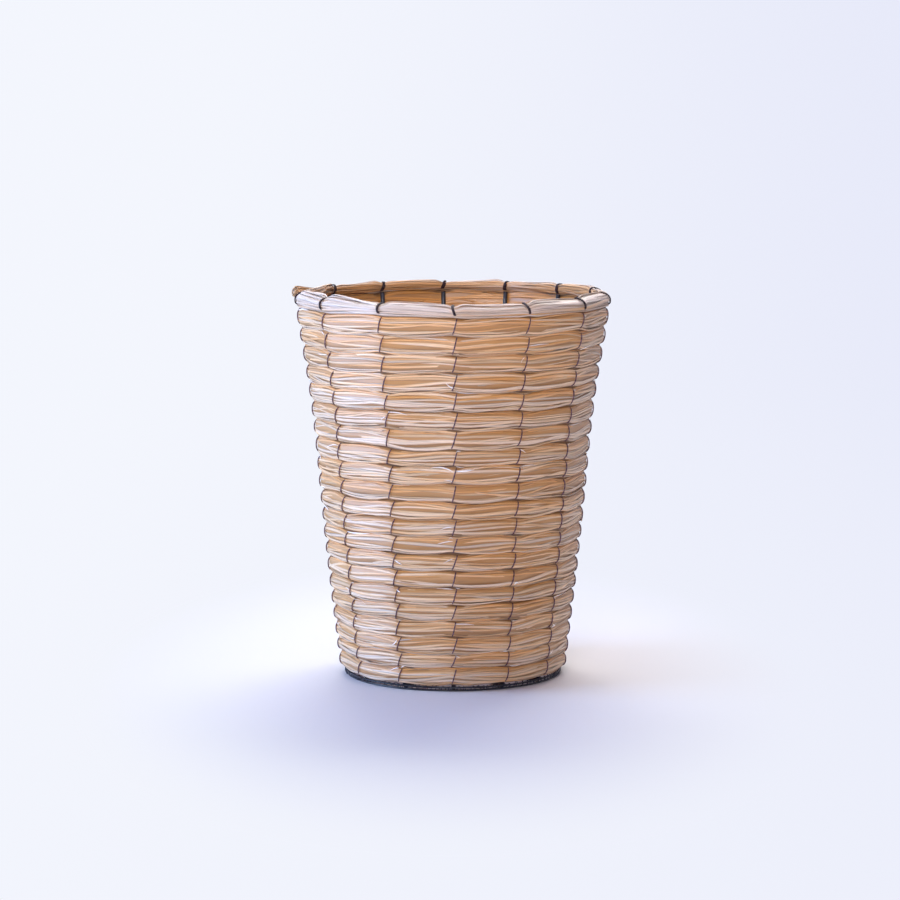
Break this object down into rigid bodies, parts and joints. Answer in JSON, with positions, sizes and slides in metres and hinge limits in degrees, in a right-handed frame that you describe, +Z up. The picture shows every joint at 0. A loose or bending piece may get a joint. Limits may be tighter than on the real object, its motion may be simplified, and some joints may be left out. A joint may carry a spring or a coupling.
{
  "type": "flower basket",
  "caption": "Tall tapered straw basket for flower arranging: level straw rows lashed with dark thread to upright black wires, on a wire foot with an open floor.",
  "frame": {"origin": "middle of the foot, on the surface that the basket stands on", "axes": "+Z up the basket's axis, -Y to the front as pictured, +X to the viewer's right"},
  "size_m": [0.2203, 0.2226, 0.27],
  "materials": {
    "straw": "satin dried straw strips",
    "rim_straw": "satin dried straw strips, paler",
    "black_wire": "black lacquered wire, half gloss",
    "thread": "dark brown twisted thread"
  },
  "bodies": {
    "root": {"foot_ring": "black_wire", "foot_ring_upper": "black_wire", "hub_ring": "black_wire", "stay_01": "black_wire", "stay_02": "black_wire", "stay_03": "black_wire", "stay_04": "black_wire", "stay_05": "black_wire", "stay_06": "black_wire", "stay_07": "black_wire", "stay_08": "black_wire", "stay_09": "black_wire", "stay_10": "black_wire", "stay_11": "black_wire", "stay_12": "black_wire", "stay_13": "black_wire", "row_01": "straw", "row_02": "straw", "row_03": "straw", "row_04": "straw", "row_05": "straw", "row_06": "straw", "row_07": "straw", "row_08": "straw", "row_09": "straw", "row_10": "straw", "row_11": "straw", "row_12": "straw", "row_13": "straw", "row_14": "straw", "row_15": "straw", "row_16": "straw", "row_17": "straw", "row_18": "straw", "row_19": "straw", "row_20": "straw", "row_21": "straw", "rim_bundle": "rim_straw", "lashing_01": "thread", "lashing_02": "thread", "lashing_03": "thread", "lashing_04": "thread", "lashing_05": "thread", "lashing_06": "thread", "lashing_07": "thread", "lashing_08": "thread", "lashing_09": "thread", "lashing_10": "thread", "lashing_11": "thread", "lashing_12": "thread", "lashing_13": "thread"}
  },
  "joints": []
}
